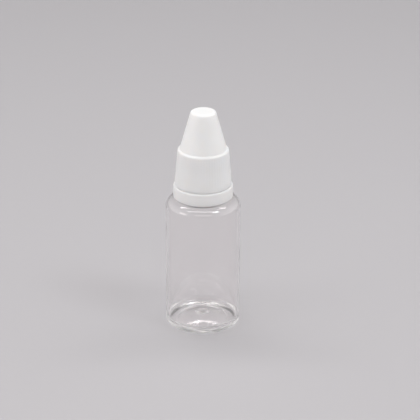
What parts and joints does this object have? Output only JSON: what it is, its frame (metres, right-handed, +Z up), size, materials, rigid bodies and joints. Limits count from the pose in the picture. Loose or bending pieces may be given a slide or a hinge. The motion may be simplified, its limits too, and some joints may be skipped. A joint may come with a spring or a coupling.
{
  "type": "eye drop bottle",
  "caption": "Small clear eye drop bottle with a press-in dropper nozzle, a white tapered screw cap with a ribbed grip, and a tamper ring that stays on the neck.",
  "frame": {"origin": "centre of the standing ring, on the surface that the bottle stands on", "axes": "+Z up along the bottle's axis, towards the cap's top"},
  "size_m": [0.022, 0.022, 0.0666],
  "materials": {
    "clear_plastic": "gloss, clear",
    "natural_plastic": "satin, slightly see-through",
    "white_plastic": "satin"
  },
  "bodies": {
    "bottle": {"bottle": "clear_plastic", "nozzle": "natural_plastic"},
    "tamper_ring": {"tamper_ring": "white_plastic"},
    "cap": {"cap": "white_plastic"}
  },
  "joints": [
    {"name": "cap_turn", "type": "hinge", "parent": "bottle", "child": "tamper_ring", "pos_m": [0, 0, 0.042], "axis": [0, 0, 1], "range_deg": [0, 2880.1]},
    {"name": "cap_rise", "type": "slide", "parent": "tamper_ring", "child": "cap", "axis": [0, 0, 1], "range_m": [0, 0.024]}
  ],
  "couplings": [
    {"joint": "cap_turn", "follows": "cap_rise", "rad_per_m": 2094.4}
  ]
}
